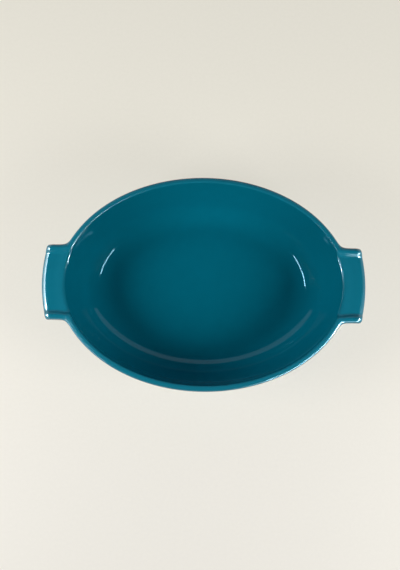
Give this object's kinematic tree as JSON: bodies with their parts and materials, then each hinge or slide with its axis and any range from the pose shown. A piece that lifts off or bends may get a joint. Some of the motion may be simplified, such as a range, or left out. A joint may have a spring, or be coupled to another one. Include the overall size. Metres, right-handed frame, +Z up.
{
  "type": "oval baking dish",
  "caption": "Oval glazed stoneware baking dish with a flared wall, a raised rim, ribbed end handles and a low foot ring, for roasting and gratins.",
  "frame": {"origin": "middle of the plane that the foot ring stands on", "axes": "+X along the dish towards the right handle, +Y across it, +Z up out of the mouth"},
  "size_m": [0.31, 0.206, 0.07],
  "materials": {
    "glaze": "gloss petrol-blue glaze on stoneware",
    "bare_clay": "unglazed sanded stoneware"
  },
  "bodies": {
    "root": {"dish_floor": "glaze", "side_wall": "glaze", "rim": "glaze", "right_handle": "glaze", "left_handle": "glaze", "foot_ring": "bare_clay"}
  },
  "joints": []
}
